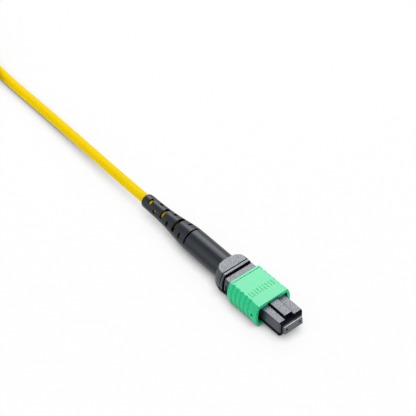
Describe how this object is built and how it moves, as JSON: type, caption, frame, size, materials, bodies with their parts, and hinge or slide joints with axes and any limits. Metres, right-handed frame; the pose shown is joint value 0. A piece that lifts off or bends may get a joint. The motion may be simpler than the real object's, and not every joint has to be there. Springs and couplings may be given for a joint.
{
  "type": "mpo fibre connector",
  "caption": "Keyed multi-fibre push-on connector with a sliding green coupling sleeve, sprung ferrule and black boot, on a coiled yellow pigtail with a bare end.",
  "frame": {"origin": "middle of the ferrule's end face", "axes": "+X is the way the plug goes into its adapter, along its length; +Z is the side with the key, and the plug's shortest way"},
  "size_m": [0.2117, 0.0283, 0.013],
  "materials": {
    "ferrule_plastic": "glass-filled moulding, polished end face",
    "black_plastic": "fine spark-eroded texture on the top and bottom",
    "green_plastic": "satin moulding",
    "soft_rubber": "satin",
    "spring_steel": "drawn wire",
    "crimp_metal": "nickel plated",
    "aramid": "loose yarn",
    "yellow_jacket": "satin extruded jacket",
    "bare_fibre": "polished",
    "ribbon_coating": "clear acrylate over coloured fibres",
    "tie_fabric": "hook and loop tape"
  },
  "bodies": {
    "plug": {"inner_housing": "black_plastic", "spring_push": "black_plastic", "ferrule_spring": "spring_steel", "coupling_spring_left": "spring_steel", "coupling_spring_right": "spring_steel", "aramid_yarn": "aramid", "crimp_ring": "crimp_metal", "strain_relief_boot": "soft_rubber", "cable": "yellow_jacket", "cable_coil": "yellow_jacket", "coil_tie_near": "tie_fabric", "coil_tie_far": "tie_fabric"},
    "sleeve": {"coupling_sleeve": "green_plastic"},
    "ferrule": {"ferrule": "ferrule_plastic", "ferrule_boot": "soft_rubber", "pin_keeper": "ferrule_plastic", "fibre_ribbon": "ribbon_coating", "fibre_01": "bare_fibre", "fibre_02": "bare_fibre", "fibre_03": "bare_fibre", "fibre_04": "bare_fibre", "fibre_05": "bare_fibre", "fibre_06": "bare_fibre", "fibre_07": "bare_fibre", "fibre_08": "bare_fibre", "fibre_09": "bare_fibre", "fibre_10": "bare_fibre", "fibre_11": "bare_fibre", "fibre_12": "bare_fibre"}
  },
  "joints": [
    {"name": "sleeve_slide", "type": "slide", "parent": "plug", "child": "sleeve", "axis": [-1, 0, 0], "range_m": [0, 0.002], "stiffness_N_per_m": 1500, "deforming": ["coupling_spring_left", "coupling_spring_right"]},
    {"name": "ferrule_float", "type": "slide", "parent": "plug", "child": "ferrule", "axis": [-1, 0, 0], "range_m": [0, 0.001], "stiffness_N_per_m": 3000, "deforming": ["ferrule_spring"]}
  ]
}
